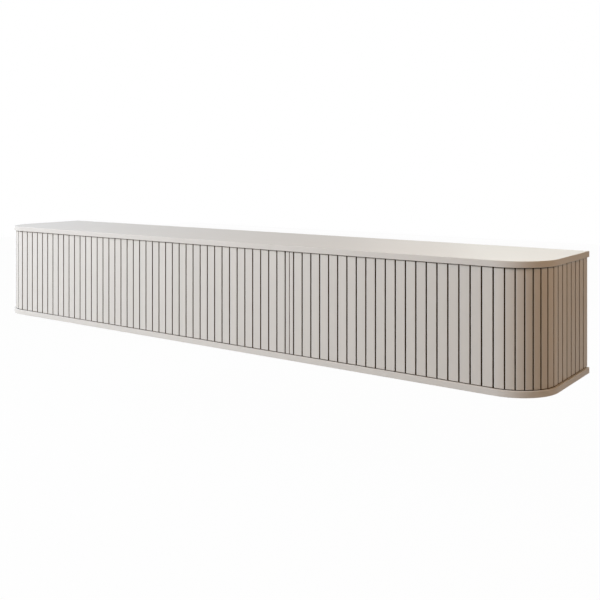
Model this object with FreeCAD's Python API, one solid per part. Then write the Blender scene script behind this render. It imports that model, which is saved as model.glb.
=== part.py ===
import FreeCAD, Part
import math
import os

from FreeCAD import Vector

os.makedirs("parts", exist_ok=True)

# Wall-hung media console. Millimetres, +X along the length, +Y into the wall, +Z up.
# The origin is on the wall plane, at the middle of the wall rail's row of screw holes.

# ---------------------------------------------------------------- driving dimensions

length = 2348.0
depth = 400.0
height = 364.0
underside_z = -273.0            # underside of the bottom slab below the wall screws
slab_thick = 18.0
slab_edge_radius = 1.2
overhang = 6.0                  # slabs beyond the slat faces
shadow_gap = 2.0                # open line between slats and slabs

slat_pitch = 33.5
groove_width = 4.0
slat_thick = 10.0
slat_edge_radius = 1.0
front_pitches = 62
corner_radius = 125.0           # of the slat faces
corner_slat_count = 8
corner_run = 215.0              # path length that the corner slats share
corner_narrowing = 0.3          # how much narrower the slats are in the middle of the bend
corner_groove_width = 3.4
side_slat_count = 7
side_groove_width = 5.0

seam_gap = 2.0                  # between neighbouring flaps and at the end shells
seam_indices = (0, 21, 41.5, 62)        # flap ends, counted in slat pitches from the left
hinge_indices = ((2.5, 10.5, 18.5), (23.5, 31.5, 39.5), (43.5, 51.5, 59.5))
leaf_names = ("left", "middle", "right")

board_thick = 16.0              # flap boards and end shells
upright_thick = 18.0
upright_front_gap = 4.0         # between the uprights and the flap boards
end_upright_reach = 3.5         # the inner sides' outer faces beyond the outermost seams
back_thick = 8.0
stretcher_thick = 18.0
stretcher_height = 70.0
upright_back_gap = 12.0         # room for the hanging rails behind the uprights

rib_thick = 16.0
rib_levels = (100.0, 210.0)     # above the bottom slab

hinge_inset = 7.0               # pivot axis behind the slat faces
hinge_lift = 12.0               # pivot axis above the flaps' bottom edges
hinge_pin_radius = 2.0
running_clearance = 0.05        # radial, every pin that turns in a hole
ear_thick = 4.0
ear_nose_radius = 3.5
housing_width = 24.0
housing_inset = 3.0             # slat material left in front of a pivot housing
housing_top = 20.0              # above the pivot axis
housing_slot = 5.0
housing_slot_play = 0.7         # above the ear's nose
flange_width = 48.0
flange_thick = 3.0
flange_drop = 2.0               # below the pivot axis
bracket_half_width = 11.0
bracket_foot_thick = 3.0
bracket_foot_reach = (6.0, 40.0)        # behind the flap boards
bracket_screw_reach = 24.0
bracket_screw_side = 7.0

stay_radius = 150.0             # both stay studs' distance from the pivot axis
stay_stud_angle = 40.0          # of the fixed stud, above the horizontal
stay_pin_standoff = 12.0        # of the flap's stud behind the flap board
stay_opening = 90.0
stay_arm_half_width = 8.0
stay_arm_thick = 2.0
stay_arm_offset = 7.0           # from the upright's face to the arm
stay_pin_radius = 3.0
stay_slot_radius = 3.4
stay_head_radius = 5.0
stay_side_play = 0.3            # of an arm between its stud's shoulders
stay_plate_thick = 2.0

latch_drop = 9.0                # plunger axis below the top slab
plunger_radius = 3.5
plunger_length = 41.0
plunger_nose_gap = 0.3
plunger_nose_radius = 4.5
plunger_nose_thick = 1.5
latch_body_half_width = 8.0
latch_body_length = 50.0
latch_body_set_back = 4.0       # body's face behind the uprights' front edges
latch_end_wall = 8.0            # behind the plunger's bore
latch_flange_half_width = 17.0
latch_flange_reach = (14.0, 36.0)       # behind the body's face
latch_flange_thick = 3.0
latch_screw_reach = 25.0
latch_screw_side = 12.5
strike_radius = 5.5
strike_thick = 1.5

grommet_lift = 62.0             # centre above the bottom slab
grommet_hole_radius = 32.0
grommet_inner_radius = 27.0
grommet_flange_radius = 36.0
grommet_flange_thick = 2.0

cable_window_y = (-98.0, -48.0)
cable_window_lift = (12.0, 52.0)
cable_window_radius = 8.0

rail_length = 1960.0
rail_thick = 3.0
wall_hole_radius = 3.25
wall_hole_x = (300.0, 600.0, 900.0)     # each side of the middle
rail_screw_margin = 60.0        # from a bay's side to its outermost rail screw
rail_screws_per_bay = 4
rail_screw_z = 52.0

cam_radius = 7.5
cam_depth = 13.0
cam_slot_half_length = 4.5
cam_slot_half_width = 0.8
cam_slot_depth = 1.0
cam_distance = 34.0             # cam centre from the slab
cam_bolt_radius = 3.0
cam_bolt_in_slab = 11.0
cam_clearance = 0.3
dowel_radius = 4.0
dowel_in_upright = 18.0
dowel_in_slab = 12.0
cam_y = (-314.0, -150.0)
dowel_y = (-282.0, -118.0)

screw_radius = 1.75
screw_head_radius = 3.5
screw_head_height = 2.0

# ---------------------------------------------------------------- worked out from them

floor_z = underside_z + slab_thick
roof_z = underside_z + height - slab_thick
slat_low_z = floor_z + shadow_gap
slat_high_z = roof_z - shadow_gap
face_x = length / 2 - overhang
face_y = -(depth - overhang)
straight_half = face_x - corner_radius
corner_arc = corner_radius * math.pi / 2
corner_centre_y = face_y + corner_radius
skin_end = straight_half + corner_arc - corner_centre_y
board_front_y = face_y + slat_thick
board_back_y = board_front_y + board_thick
upright_front_y = board_back_y + upright_front_gap
upright_back_y = -upright_back_gap
back_front_y = upright_back_y - stretcher_thick - back_thick
back_rear_y = back_front_y + back_thick
hinge_y = face_y + hinge_inset
hinge_z = slat_low_z + hinge_lift

right_way = Vector(1, 0, 0)
back_way = Vector(0, 1, 0)
up_way = Vector(0, 0, 1)


def index_x(index):
    """Place along the front of a slat index, counted in pitches from the left flap's end."""
    return (index - front_pitches / 2) * slat_pitch


end_seam_x = index_x(seam_indices[-1])
upright_centre_x = (
    -end_seam_x - end_upright_reach + upright_thick / 2,
    index_x(seam_indices[1]),
    index_x(seam_indices[2]),
    end_seam_x + end_upright_reach - upright_thick / 2,
)
upright_names = ("left_inner_side", "left_divider", "right_divider", "right_inner_side")


# ---------------------------------------------------------------- small helpers

def block(x_range, y_range, z_range):
    """Box between two x, two y and two z values."""
    size = [high - low for low, high in (x_range, y_range, z_range)]
    return Part.makeBox(*size, Vector(x_range[0], y_range[0], z_range[0]))


def rod(radius, start, direction, run):
    return Part.makeCylinder(radius, run, start, direction)


def joined(shapes):
    """One solid from overlapping or touching shapes."""
    whole = shapes[0].multiFuse(shapes[1:])
    return whole.removeSplitter()


def without(shape, cutters):
    return shape.cut(Part.makeCompound(cutters)) if cutters else shape


def mirrored(shape):
    return shape.mirror(Vector(0, 0, 0), right_way)


def save(name, solids):
    """Write one node, a single solid or a group of separate ones."""
    pieces = []
    for shape in solids:
        pieces.extend(shape.Solids)
    whole = pieces[0] if len(pieces) == 1 else Part.makeCompound(pieces)
    whole.exportStep("parts/" + name + ".step")


def screw_blank(start, direction, run):
    """Countersunk screw without its recess, also the hole it fills. start is on its head's face."""
    profile = [
        Vector(0, 0, 0),
        Vector(screw_head_radius, 0, 0),
        Vector(screw_radius, 0, screw_head_height),
        Vector(screw_radius, 0, run - screw_radius),
        Vector(0, 0, run),
        Vector(0, 0, 0),
    ]
    solid = Part.Face(Part.makePolygon(profile)).revolve(Vector(0, 0, 0), up_way, 360)
    solid.Placement = FreeCAD.Placement(start, FreeCAD.Rotation(up_way, direction))
    return solid


def screw(start, direction, run):
    """Countersunk screw with a cross recess."""
    recess_half_length = screw_head_radius * 0.55
    recess_half_width = 0.4
    recess_depth = 0.9
    solid = screw_blank(Vector(0, 0, 0), up_way, run)
    solid = solid.cut(joined([
        block((-recess_half_length, recess_half_length), (-recess_half_width, recess_half_width),
              (0, recess_depth)),
        block((-recess_half_width, recess_half_width), (-recess_half_length, recess_half_length),
              (0, recess_depth)),
    ]))
    solid.Placement = FreeCAD.Placement(start, FreeCAD.Rotation(up_way, direction))
    return solid


# ---------------------------------------------------------------- the slat skin's path

def skin_point(path, inset, z):
    """Point at a distance along the right half of the skin, inset behind the slat faces."""
    if path <= straight_half:
        return Vector(path, face_y + inset, z)
    if path >= straight_half + corner_arc:
        return Vector(face_x - inset, corner_centre_y + path - straight_half - corner_arc, z)
    angle = (path - straight_half) / corner_radius
    radius = corner_radius - inset
    return Vector(straight_half + radius * math.sin(angle), corner_centre_y - radius * math.cos(angle), z)


def skin_edges(start, end, inset, z):
    """Lines and arcs along the skin between two distances."""
    bends = [bend for bend in (straight_half, straight_half + corner_arc) if start < bend < end]
    stops = [start] + bends + [end]
    edges = []
    for near, far in zip(stops, stops[1:]):
        middle = (near + far) / 2
        first = skin_point(near, inset, z)
        last = skin_point(far, inset, z)
        if straight_half < middle < straight_half + corner_arc:
            edges.append(Part.Arc(first, skin_point(middle, inset, z), last).toShape())
        else:
            edges.append(Part.LineSegment(first, last).toShape())
    return edges


def skin_block(start, end, outer_inset, inner_inset, z_range):
    """Upright piece of the skin between two distances along it and two depths."""
    z = z_range[0]
    edges = skin_edges(start, end, outer_inset, z) + skin_edges(start, end, inner_inset, z)
    for path in (start, end):
        side = Part.LineSegment(skin_point(path, outer_inset, z), skin_point(path, inner_inset, z))
        edges.append(side.toShape())
    outline = Part.Face(Part.Wire(Part.__sortEdges__(edges)))
    return outline.extrude(Vector(0, 0, z_range[1] - z))


def slat(start, end):
    """Slat with its four face edges rounded. start and end are distances along the skin."""
    solid = skin_block(start, end, 0, slat_thick, (slat_low_z, slat_high_z))
    corners = [skin_point(path, 0, 0) for path in (start, end)]
    eased = []
    for edge in solid.Edges:
        middle = edge.valueAt((edge.FirstParameter + edge.LastParameter) / 2)
        flat_middle = Vector(middle.x, middle.y, 0)
        ends_level = abs(edge.Vertexes[0].Z - edge.Vertexes[-1].Z) < 0.01
        at_corner = min(flat_middle.distanceToPoint(corner) for corner in corners) < 0.01
        if at_corner and not ends_level:
            eased.append(edge)
        elif ends_level and depth_behind_face(middle) < 0.01:
            eased.append(edge)
    return solid.makeFillet(slat_edge_radius, eased)


def depth_behind_face(point):
    """How far a point lies behind the slat faces, on the right half of the skin."""
    if point.x > straight_half and point.y < corner_centre_y:
        return corner_radius - math.hypot(point.x - straight_half, point.y - corner_centre_y)
    if point.x > straight_half:
        return face_x - point.x
    return point.y - face_y


def corner_grooves():
    """Groove centres round the bend, closer together in its middle."""
    weights = []
    for number in range(corner_slat_count):
        phase = math.pi * (number + 0.5) / corner_slat_count
        weights.append(1 - corner_narrowing * math.sin(phase))
    places = [end_seam_x]
    for weight in weights:
        places.append(places[-1] + corner_run * weight / sum(weights))
    return places


def side_grooves():
    """Groove centres along the straight side, up to the wall."""
    start = corner_grooves()[-1]
    step = (skin_end - start) / side_slat_count
    return [start + step * number for number in range(side_slat_count + 1)]


def end_groove_widths():
    """Widths of the grooves round an end, from the last flap's end to the wall, where there is none."""
    corner = [corner_groove_width] * (corner_slat_count - 1)
    return [groove_width] + corner + [side_groove_width] * side_slat_count + [0.0]


# ---------------------------------------------------------------- slabs

def slab(z_low):
    """Top or bottom slab: square at the wall, rounded at the front corners."""
    half = length / 2
    radius = corner_radius + overhang
    bend_x = half - radius
    bend_y = -depth + radius
    middle = radius * math.sqrt(0.5)
    z = z_low
    right_bend = Part.Arc(Vector(bend_x, -depth, z), Vector(bend_x + middle, bend_y - middle, z),
                          Vector(half, bend_y, z))
    left_bend = Part.Arc(Vector(-half, bend_y, z), Vector(-bend_x - middle, bend_y - middle, z),
                         Vector(-bend_x, -depth, z))
    lines = [
        Part.LineSegment(Vector(-bend_x, -depth, z), Vector(bend_x, -depth, z)),
        right_bend,
        Part.LineSegment(Vector(half, bend_y, z), Vector(half, 0, z)),
        Part.LineSegment(Vector(half, 0, z), Vector(-half, 0, z)),
        Part.LineSegment(Vector(-half, 0, z), Vector(-half, bend_y, z)),
        left_bend,
    ]
    outline = Part.Face(Part.Wire([line.toShape() for line in lines]))
    solid = outline.extrude(Vector(0, 0, slab_thick))
    shown = []
    for edge in solid.Edges:
        middle = edge.valueAt((edge.FirstParameter + edge.LastParameter) / 2)
        ends_level = abs(edge.Vertexes[0].Z - edge.Vertexes[-1].Z) < 0.01
        if ends_level and middle.y < -0.01:
            shown.append(edge)
    return solid.makeFillet(slab_edge_radius, shown)


# ---------------------------------------------------------------- fasteners between slabs and uprights

def upright_fixings(centre_x, cam_side):
    """Cam locks, cam bolts and dowels of one upright. cam_side is the face the cams are let into."""
    cams, bolts, dowels = [], [], []
    for slab_face, inward in ((floor_z, 1), (roof_z, -1)):
        into_upright = Vector(0, 0, inward)
        for y in cam_y:
            face = centre_x + cam_side * upright_thick / 2
            centre = Vector(face, y, slab_face + inward * cam_distance)
            lock = rod(cam_radius, centre, Vector(-cam_side, 0, 0), cam_depth)
            slot = block(sorted((face, face - cam_side * cam_slot_depth)),
                         (y - cam_slot_half_length, y + cam_slot_half_length),
                         (centre.z - cam_slot_half_width, centre.z + cam_slot_half_width))
            cams.append(lock.cut(slot))
            bolt_start = Vector(centre_x, y, slab_face - inward * cam_bolt_in_slab)
            bolt_run = cam_bolt_in_slab + cam_distance - cam_radius - cam_clearance
            bolts.append(rod(cam_bolt_radius, bolt_start, into_upright, bolt_run))
        for y in dowel_y:
            dowel_start = Vector(centre_x, y, slab_face - inward * dowel_in_slab)
            dowels.append(rod(dowel_radius, dowel_start, into_upright, dowel_in_slab + dowel_in_upright))
    return cams, bolts, dowels


def cam_pockets(centre_x, cam_side):
    """Round pockets of one upright's cam locks."""
    pockets = []
    for slab_face, inward in ((floor_z, 1), (roof_z, -1)):
        for y in cam_y:
            centre = Vector(centre_x + cam_side * upright_thick / 2, y, slab_face + inward * cam_distance)
            pockets.append(rod(cam_radius, centre, Vector(-cam_side, 0, 0), cam_depth))
    return pockets


# ---------------------------------------------------------------- stays

def stay_points():
    """Flap stud and fixed stud at rest, and the longest distance between them when open."""
    pin_reach = board_back_y + stay_pin_standoff - hinge_y
    pin_rise = math.sqrt(stay_radius ** 2 - pin_reach ** 2)
    pin_angle = math.degrees(math.atan2(pin_rise, pin_reach))
    fixed = math.radians(stay_stud_angle)
    pin = Vector(0, hinge_y + pin_reach, hinge_z + pin_rise)
    stud = Vector(0, hinge_y + stay_radius * math.cos(fixed), hinge_z + stay_radius * math.sin(fixed))
    shortest = 2 * stay_radius * math.sin(math.radians(pin_angle - stay_stud_angle) / 2)
    longest = 2 * stay_radius * math.sin(math.radians(pin_angle + stay_opening - stay_stud_angle) / 2)
    return pin, stud, shortest, longest


def stay_arm(face_of_upright, inward):
    """Flat arm that turns on the flap's stud; its long slot rides over the upright's stud."""
    pin, stud, shortest, longest = stay_points()
    stop = longest + stay_slot_radius - stay_pin_radius
    start = shortest - stay_slot_radius + stay_pin_radius
    outline = [
        rod(stay_arm_half_width, Vector(0, 0, 0), up_way, stay_arm_thick),
        block((0, stop), (-stay_arm_half_width, stay_arm_half_width), (0, stay_arm_thick)),
        rod(stay_arm_half_width, Vector(stop, 0, 0), up_way, stay_arm_thick),
    ]
    slot = [
        rod(stay_slot_radius, Vector(start, 0, 0), up_way, stay_arm_thick),
        block((start, stop), (-stay_slot_radius, stay_slot_radius), (0, stay_arm_thick)),
        rod(stay_slot_radius, Vector(stop, 0, 0), up_way, stay_arm_thick),
    ]
    pivot_hole = rod(stay_pin_radius + running_clearance, Vector(0, 0, 0), up_way, stay_arm_thick)
    arm = joined(outline).cut(joined(slot)).cut(pivot_hole)
    # Local x runs from the flap's stud to the fixed stud, local z runs across the arm.
    along = (stud - pin).normalize()
    across = right_way
    third = across.cross(along)
    turn = FreeCAD.Rotation(FreeCAD.Matrix(
        along.x, third.x, across.x, 0,
        along.y, third.y, across.y, 0,
        along.z, third.z, across.z, 0,
        0, 0, 0, 1))
    near = face_of_upright + inward * stay_arm_offset
    low_x = near if inward > 0 else near - stay_arm_thick
    arm.Placement = FreeCAD.Placement(Vector(low_x, pin.y, pin.z), turn)
    return arm


def fixed_stud(face_of_upright, inward):
    """Shouldered stud, screwed into the upright, with a head that keeps the arm on."""
    _, stud, _, _ = stay_points()
    way = Vector(inward, 0, 0)
    foot = Vector(face_of_upright, stud.y, stud.z)
    thread_radius = 2.5
    thread_run = 8.0
    shoulder_run = stay_arm_offset - stay_side_play
    head_place = stay_arm_offset + stay_arm_thick + stay_side_play
    head_thick = 1.8
    return joined([
        rod(thread_radius, foot - way * thread_run, way, thread_run),
        rod(stay_head_radius, foot, way, shoulder_run),
        rod(stay_pin_radius, foot, way, head_place),
        rod(stay_head_radius, foot + way * head_place, way, head_thick),
    ])


def stay_bracket(face_of_upright, inward):
    """Angle on the flap board whose ear holds the stud that the arm turns on."""
    pin, _, _, _ = stay_points()
    plate_half_height = 22.0
    ear_half_height = 9.0
    plate_width = 20.0
    way = Vector(inward, 0, 0)
    ear_near = face_of_upright + inward * (stay_arm_offset + stay_arm_thick + stay_side_play)
    ear_far = ear_near + inward * stay_plate_thick
    plate_far = ear_near + inward * plate_width
    ear = block(sorted((ear_near, ear_far)), (board_back_y, pin.y),
                (pin.z - ear_half_height, pin.z + ear_half_height))
    plate = block(sorted((ear_near, plate_far)), (board_back_y, board_back_y + stay_plate_thick),
                  (pin.z - plate_half_height, pin.z + plate_half_height))
    head_thick = 1.5
    head_start = stay_arm_offset - stay_side_play - head_thick
    centre = Vector(face_of_upright, pin.y, pin.z)
    stud_run = stay_arm_thick + 2 * stay_side_play + stay_plate_thick
    return joined([
        plate,
        ear,
        rod(ear_half_height, Vector(ear_near, pin.y, pin.z), way, stay_plate_thick),
        rod(stay_head_radius, centre + way * head_start, way, head_thick),
        rod(stay_pin_radius, centre + way * (head_start + head_thick), way, stud_run),
    ])


def stay_bracket_screws(face_of_upright, inward):
    """Places of the two screws of one stay bracket."""
    pin, _, _, _ = stay_points()
    screw_reach = 13.0
    screw_rise = 16.0
    x = face_of_upright + inward * (stay_arm_offset + stay_arm_thick + screw_reach)
    y = board_back_y + stay_plate_thick
    return [Vector(x, y, pin.z + rise) for rise in (-screw_rise, screw_rise)]


# ---------------------------------------------------------------- hinges

def hinge_bracket(x):
    """Foot on the bottom slab with an ear that reaches into the flap and carries its pin."""
    foot_front, foot_back = (board_back_y + reach for reach in bracket_foot_reach)
    foot_top = floor_z + bracket_foot_thick
    level_run = 10.0            # where the web's top stays level above the foot
    web_end_margin = 4.0
    foot = block((x - bracket_half_width, x + bracket_half_width), (foot_front, foot_back),
                 (floor_z, foot_top))
    half = ear_thick / 2
    outline = [
        Vector(x - half, hinge_y, hinge_z + ear_nose_radius),
        Vector(x - half, foot_front + level_run, hinge_z + ear_nose_radius),
        Vector(x - half, foot_back - web_end_margin, foot_top),
        Vector(x - half, foot_front, foot_top),
        Vector(x - half, foot_front, hinge_z - ear_nose_radius),
        Vector(x - half, hinge_y, hinge_z - ear_nose_radius),
    ]
    web = Part.Face(Part.makePolygon(outline + outline[:1])).extrude(Vector(ear_thick, 0, 0))
    nose = rod(ear_nose_radius, Vector(x - half, hinge_y, hinge_z), right_way, ear_thick)
    hole = rod(hinge_pin_radius + running_clearance, Vector(x - half, hinge_y, hinge_z), right_way, ear_thick)
    return joined([foot, web, nose]).cut(hole)


def hinge_bracket_screws(x):
    y = board_back_y + bracket_screw_reach
    z = floor_z + bracket_foot_thick
    return [Vector(x + side, y, z) for side in (-bracket_screw_side, bracket_screw_side)]


def housing_blank(x):
    """Outside of a pivot housing: a block through the flap board and a thin flange."""
    body = block((x - housing_width / 2, x + housing_width / 2), (face_y + housing_inset, board_back_y),
                 (slat_low_z, hinge_z + housing_top))
    flange = block((x - flange_width / 2, x + flange_width / 2), (board_back_y - flange_thick, board_back_y),
                   (hinge_z - flange_drop, hinge_z + housing_top))
    return joined([body, flange])


def pivot_housing(x):
    """Cast block let into the flap, slotted for the hinge bracket's ear."""
    slot_top = hinge_z + ear_nose_radius + housing_slot_play
    slot = block((x - housing_slot / 2, x + housing_slot / 2), (face_y + housing_inset, board_back_y),
                 (slat_low_z, slot_top))
    return housing_blank(x).cut(slot).cut(hinge_pin(x))


def housing_screws(x):
    rise = 9.0
    reach = 18.0
    return [Vector(x + side, board_back_y, hinge_z + rise) for side in (-reach, reach)]


def hinge_pin(x):
    """Pin pressed across a pivot housing; also the hole that it fills."""
    return rod(hinge_pin_radius, Vector(x - housing_width / 2, hinge_y, hinge_z), right_way, housing_width)


# ---------------------------------------------------------------- touch latches

def latch_body(x):
    """Plastic body under the top slab, bored for its plunger, with two screw flanges."""
    z = roof_z - latch_drop
    front = upright_front_y + latch_body_set_back
    body = block((x - latch_body_half_width, x + latch_body_half_width),
                 (front, front + latch_body_length), (z - latch_drop, roof_z))
    flange_near, flange_far = (front + reach for reach in latch_flange_reach)
    flange = block((x - latch_flange_half_width, x + latch_flange_half_width),
                   (flange_near, flange_far), (roof_z - latch_flange_thick, roof_z))
    bore_run = latch_body_length - latch_end_wall
    bore = rod(plunger_radius + running_clearance, Vector(x, front, z), back_way, bore_run)
    return joined([body, flange]).cut(bore)


def latch_screws(x):
    y = upright_front_y + latch_body_set_back + latch_screw_reach
    z = roof_z - latch_flange_thick
    return [Vector(x + side, y, z) for side in (-latch_screw_side, latch_screw_side)]


def latch_plunger(x):
    """Plunger with a small round nose, 0.3 mm short of the strike disc."""
    z = roof_z - latch_drop
    tip = board_back_y + strike_thick + plunger_nose_gap
    nose = rod(plunger_nose_radius, Vector(x, tip, z), back_way, plunger_nose_thick)
    stem = rod(plunger_radius, Vector(x, tip, z), back_way, plunger_length)
    return joined([nose, stem])


def strike_disc(x):
    return rod(strike_radius, Vector(x, board_back_y, roof_z - latch_drop), back_way, strike_thick)


# ---------------------------------------------------------------- rails

def rail_profile(points):
    """Rail of one section along X."""
    half = rail_length / 2
    outline = [Vector(-half, y, z) for y, z in points]
    return Part.Face(Part.makePolygon(outline + outline[:1])).extrude(Vector(rail_length, 0, 0))


def wall_rail():
    """Rail on the wall, with an upturned lip and a row of screw holes at z = 0."""
    t = rail_thick
    foot_z = -14.0
    lip_front = -8.0
    step_z = 17.0
    lip_top = 34.0
    rail = rail_profile([(0, foot_z), (0, step_z + t), (lip_front + t, step_z + t), (lip_front + t, lip_top),
                         (lip_front, lip_top), (lip_front, step_z), (-t, step_z), (-t, foot_z)])
    holes = []
    for reach in wall_hole_x:
        for x in (-reach, reach):
            holes.append(rod(wall_hole_radius, Vector(x, -t, 0), back_way, t))
    return without(rail, holes)


def hanging_rail():
    """Rail on the cabinet, with a lip that drops behind the wall rail's lip."""
    t = rail_thick
    lip_back = -1.5
    step_z = 34.0
    lip_bottom = 24.0
    top = 66.0
    front = upright_back_y
    return rail_profile([(front, step_z), (lip_back - t, step_z), (lip_back - t, lip_bottom),
                         (lip_back, lip_bottom), (lip_back, step_z + t), (front + t, step_z + t),
                         (front + t, top), (front, top)])


# ---------------------------------------------------------------- bays

bays = []
for number, name in enumerate(leaf_names):
    left_face = upright_centre_x[number] + upright_thick / 2
    right_face = upright_centre_x[number + 1] - upright_thick / 2
    bays.append({
        "name": name,
        "left_face": left_face,
        "right_face": right_face,
        "middle": (left_face + right_face) / 2,
        "first": seam_indices[number],
        "last": seam_indices[number + 1],
        "hinges": [index_x(index) for index in hinge_indices[number]],
    })


def flap_board(bay):
    return block((index_x(bay["first"]) + seam_gap / 2, index_x(bay["last"]) - seam_gap / 2),
                 (board_front_y, board_back_y), (slat_low_z, slat_high_z))


def flap_slats(bay):
    """Slats of one flap. A seam through the middle of a slat leaves half a slat each side."""
    stops = [bay["first"]]
    stops += [index for index in range(front_pitches + 1) if bay["first"] < index < bay["last"]]
    stops.append(bay["last"])
    slats = []
    for near, far in zip(stops, stops[1:]):
        near_gap = seam_gap if near != int(near) else groove_width
        far_gap = seam_gap if far != int(far) else groove_width
        slats.append(slat(index_x(near) + near_gap / 2, index_x(far) - far_gap / 2))
    return slats


def build_flap(bay):
    """Nodes of one flap, of its stay arms and of its latch plunger."""
    name = bay["name"]
    blanks = [housing_blank(x) for x in bay["hinges"]]
    stays = ((bay["left_face"], 1), (bay["right_face"], -1))
    screw_run = 12.0
    plate_screw_run = 14.0
    forward = Vector(0, -1, 0)
    screws, bores = [], []
    for x in bay["hinges"]:
        for place in housing_screws(x):
            screws.append(screw(place, forward, screw_run))
            bores.append(screw_blank(place, forward, screw_run))
    for face, inward in stays:
        for place in stay_bracket_screws(face, inward):
            screws.append(screw(place, forward, plate_screw_run))
            bores.append(screw_blank(place, forward, plate_screw_run))
    save(name + "_flap_board", [without(flap_board(bay), blanks + bores)])
    save(name + "_flap_slats", [without(piece, blanks) for piece in flap_slats(bay)])
    save(name + "_pivot_housings", [without(pivot_housing(x), bores) for x in bay["hinges"]])
    save(name + "_hinge_pins", [hinge_pin(x) for x in bay["hinges"]])
    save(name + "_stay_brackets", [without(stay_bracket(face, inward), bores) for face, inward in stays])
    save(name + "_flap_screws", screws)
    save(name + "_strike_disc", [strike_disc(bay["middle"])])
    save(name + "_stay_arms", [stay_arm(face, inward) for face, inward in stays])
    save(name + "_latch_plunger", [latch_plunger(bay["middle"])])


# ---------------------------------------------------------------- carcase

def upright(number, cutters):
    """Inner side or divider; the dividers have a cable window near the back."""
    x = upright_centre_x[number]
    x_range = (x - upright_thick / 2, x + upright_thick / 2)
    panel = block(x_range, (upright_front_y, upright_back_y), (floor_z, roof_z))
    if upright_names[number].endswith("divider"):
        low, high = (floor_z + lift for lift in cable_window_lift)
        window = block(x_range, cable_window_y, (low, high))
        corner_edges = [edge for edge in window.Edges if abs(edge.Vertexes[0].X - edge.Vertexes[-1].X) > 1]
        panel = panel.cut(window.makeFillet(cable_window_radius, corner_edges))
    return without(panel, cutters)


def end_rib(lift):
    """Rib between the right inner side and the right end shell, whose end laps the side's edge."""
    shell_inner = slat_thick + board_thick
    z = floor_z + lift
    side_x = end_seam_x + end_upright_reach
    path = skin_edges(side_x, skin_end + back_front_y, shell_inner, z)
    last = skin_point(skin_end + back_front_y, shell_inner, z)
    corners = [last, Vector(side_x, last.y, z), skin_point(side_x, shell_inner, z)]
    for first, second in zip(corners, corners[1:]):
        path.append(Part.LineSegment(first, second).toShape())
    return Part.Face(Part.Wire(Part.__sortEdges__(path))).extrude(Vector(0, 0, rib_thick))


def grommet(x):
    """Flanged ring in a back panel."""
    z = floor_z + grommet_lift
    sleeve = rod(grommet_hole_radius, Vector(x, back_front_y, z), back_way, back_thick)
    flange = rod(grommet_flange_radius, Vector(x, back_front_y - grommet_flange_thick, z), back_way,
                 grommet_flange_thick)
    hole = rod(grommet_inner_radius, Vector(x, back_front_y - grommet_flange_thick, z), back_way,
               back_thick + grommet_flange_thick)
    return joined([sleeve, flange]).cut(hole)


def back_panel(bay):
    panel = block((bay["left_face"], bay["right_face"]), (back_front_y, back_rear_y), (floor_z, roof_z))
    hole = rod(grommet_hole_radius, Vector(bay["middle"], back_front_y, floor_z + grommet_lift), back_way,
               back_thick)
    return panel.cut(hole)


def stretcher(bay):
    return block((bay["left_face"], bay["right_face"]), (back_rear_y, upright_back_y),
                 (roof_z - stretcher_height, roof_z))


def bumper_pads():
    """Rubber pads on the uprights' front edges, two for each flap."""
    pad_radius = 3.0
    pad_play = 0.2              # left between a pad and its closed flap
    pad_thick = upright_front_gap - pad_play
    pad_drop = 20.0
    pad_reach = 5.0
    pads = []
    for bay in bays:
        for x in (index_x(bay["first"]) + pad_reach, index_x(bay["last"]) - pad_reach):
            centre = Vector(x, upright_front_y - pad_thick, roof_z - pad_drop)
            pads.append(rod(pad_radius, centre, back_way, pad_thick))
    return pads


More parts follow.
